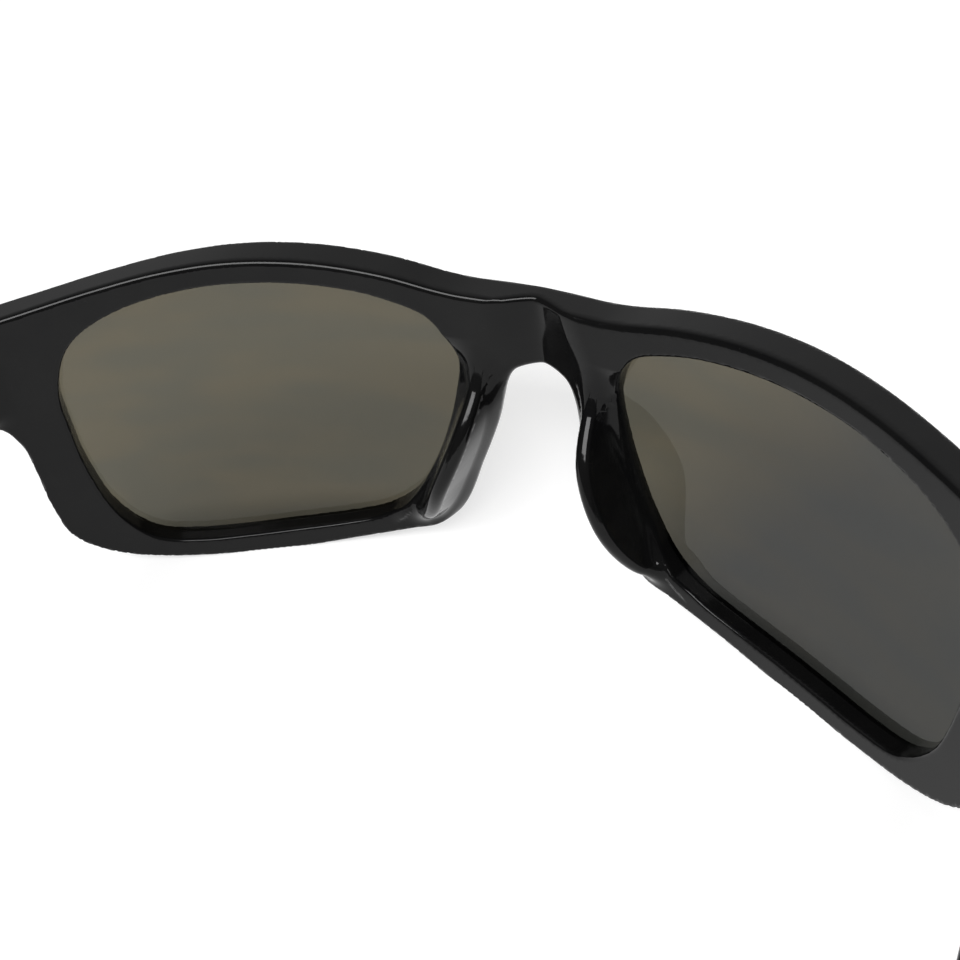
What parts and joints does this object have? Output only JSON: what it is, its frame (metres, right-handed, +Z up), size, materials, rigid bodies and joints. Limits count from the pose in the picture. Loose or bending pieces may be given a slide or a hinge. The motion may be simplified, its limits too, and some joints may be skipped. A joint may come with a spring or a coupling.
{
  "type": "glacier glasses",
  "caption": "Wrap-around glacier glasses with a moulded front, built-in nose pads, smoke lenses, folding temples on steel hinges and rubber temple tips.",
  "frame": {"origin": "under the middle of the open glasses, on the plane that the lower rims and temple tips stand on", "axes": "+Z up, front of the glasses faces -Y, temples run back along +Y, +X is the wearer's left"},
  "size_m": [0.142, 0.1512, 0.0472],
  "materials": {
    "frame_plastic": "gloss black moulded nylon",
    "lens": "smoke grey-brown polycarbonate, polished",
    "tip_rubber": "soft matte black",
    "steel": "fine brushed",
    "screw_steel": "turned, bright"
  },
  "bodies": {
    "front": {"front_frame": "frame_plastic", "lens_left": "lens", "lens_right": "lens", "hinge_front_leaf_left": "steel", "hinge_front_leaf_right": "steel", "hinge_screw_left": "screw_steel", "hinge_screw_right": "screw_steel", "front_leaf_screw_upper_left": "screw_steel", "front_leaf_screw_lower_left": "screw_steel", "front_leaf_screw_upper_right": "screw_steel", "front_leaf_screw_lower_right": "screw_steel"},
    "left_temple": {"temple_arm_left": "frame_plastic", "temple_tip_left": "tip_rubber", "temple_core_wire_left": "steel", "hinge_temple_leaf_left": "steel", "temple_leaf_screw_upper_left": "screw_steel", "temple_leaf_screw_lower_left": "screw_steel"},
    "right_temple": {"temple_arm_right": "frame_plastic", "temple_tip_right": "tip_rubber", "temple_core_wire_right": "steel", "hinge_temple_leaf_right": "steel", "temple_leaf_screw_upper_right": "screw_steel", "temple_leaf_screw_lower_right": "screw_steel"}
  },
  "joints": [
    {"name": "left_temple_fold", "type": "hinge", "parent": "front", "child": "left_temple", "pos_m": [0.064, -0.0321, 0.0372], "axis": [0, 0, 1], "range_deg": [0, 83]},
    {"name": "right_temple_fold", "type": "hinge", "parent": "front", "child": "right_temple", "pos_m": [-0.064, -0.0321, 0.0372], "axis": [0, 0, -1], "range_deg": [0, 90]}
  ]
}
